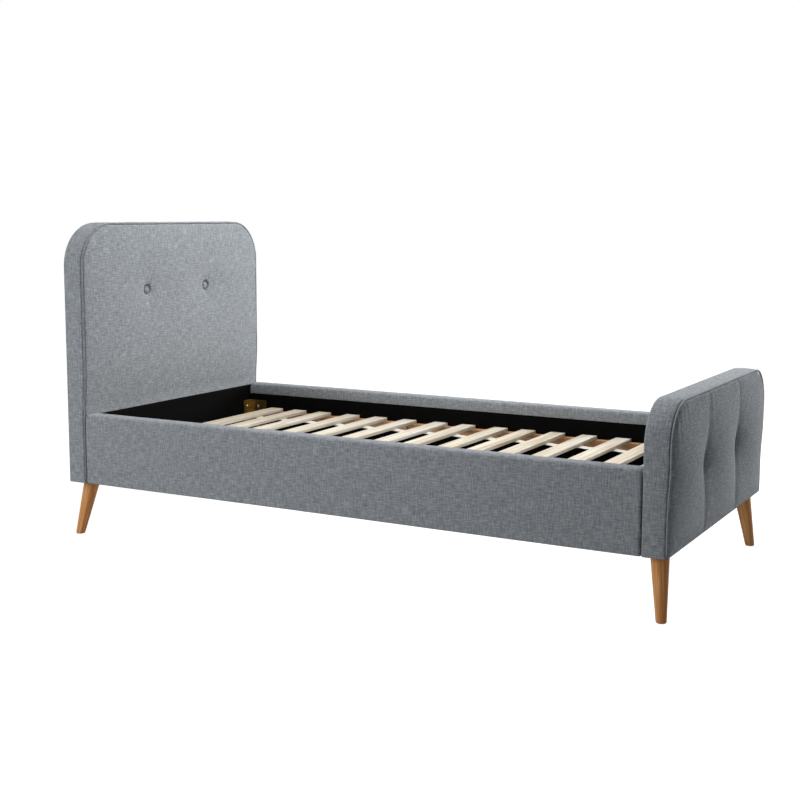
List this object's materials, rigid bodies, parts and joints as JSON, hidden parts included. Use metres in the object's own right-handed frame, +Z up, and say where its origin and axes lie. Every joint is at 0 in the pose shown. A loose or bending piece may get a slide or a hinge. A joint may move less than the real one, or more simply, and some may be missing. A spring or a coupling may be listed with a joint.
{
  "type": "upholstered single bed",
  "caption": "Upholstered single bed frame with a rounded padded headboard and lower footboard, padded side rails, a slatted base and splayed tapered wooden legs.",
  "frame": {"origin": "on the floor, below the middle of the bed", "axes": "+X along the bed from headboard to footboard, +Y across it, +Z up"},
  "size_m": [2.06, 0.992, 1.041],
  "materials": {
    "grey_fabric": "blue-grey mottled linen weave",
    "black_lining": "black non-woven lining",
    "foam": "upholstery foam",
    "honey_oak": "honey stained satin lacquer",
    "pale_pine": "planed untreated pine",
    "tan_pine": "sawn pine",
    "frame_pine": "sawn pine, hidden",
    "hardboard": "hardboard, hidden",
    "yellow_zinc": "yellow zinc plated steel",
    "zinc_screw": "zinc plated steel",
    "webbing": "white woven tape"
  },
  "bodies": {
    "frame": {"bearer_screws": "zinc_screw", "bracket_screws": "zinc_screw", "foot_left_bracket": "yellow_zinc", "foot_left_leg": "honey_oak", "foot_right_bracket": "yellow_zinc", "foot_right_leg": "honey_oak", "footboard_bottom_rail": "frame_pine", "footboard_buttons": "grey_fabric", "footboard_cover": "grey_fabric", "footboard_foam": "foam", "footboard_inner_panel": "hardboard", "footboard_left_post": "frame_pine", "footboard_lining": "black_lining", "footboard_outer_panel": "hardboard", "footboard_right_post": "frame_pine", "footboard_top_rail": "frame_pine", "head_left_bracket": "yellow_zinc", "head_left_leg": "honey_oak", "head_right_bracket": "yellow_zinc", "head_right_leg": "honey_oak", "headboard_bottom_rail": "frame_pine", "headboard_buttons": "grey_fabric", "headboard_cover": "grey_fabric", "headboard_foam": "foam", "headboard_inner_panel": "hardboard", "headboard_left_post": "frame_pine", "headboard_lining": "black_lining", "headboard_outer_panel": "hardboard", "headboard_right_post": "frame_pine", "headboard_top_rail": "frame_pine", "left_bearer": "tan_pine", "left_rail_cover": "grey_fabric", "left_rail_foam": "foam", "left_rail_lining": "black_lining", "left_side_rail": "frame_pine", "leg_bolts": "zinc_screw", "leg_nuts": "zinc_screw", "right_bearer": "tan_pine", "right_rail_cover": "grey_fabric", "right_rail_foam": "foam", "right_rail_lining": "black_lining", "right_side_rail": "frame_pine"},
    "slat_base": {"left_slat_tape": "webbing", "right_slat_tape": "webbing", "slat_01": "pale_pine", "slat_02": "pale_pine", "slat_03": "pale_pine", "slat_04": "pale_pine", "slat_05": "pale_pine", "slat_06": "pale_pine", "slat_07": "pale_pine", "slat_08": "pale_pine", "slat_09": "pale_pine", "slat_10": "pale_pine", "slat_11": "pale_pine", "slat_12": "pale_pine", "slat_13": "pale_pine", "slat_14": "pale_pine", "slat_15": "pale_pine"}
  },
  "joints": [
    {"name": "slat_base_lift", "type": "slide", "parent": "frame", "child": "slat_base", "axis": [0, 0, 1], "range_m": [0, 0.35]}
  ]
}
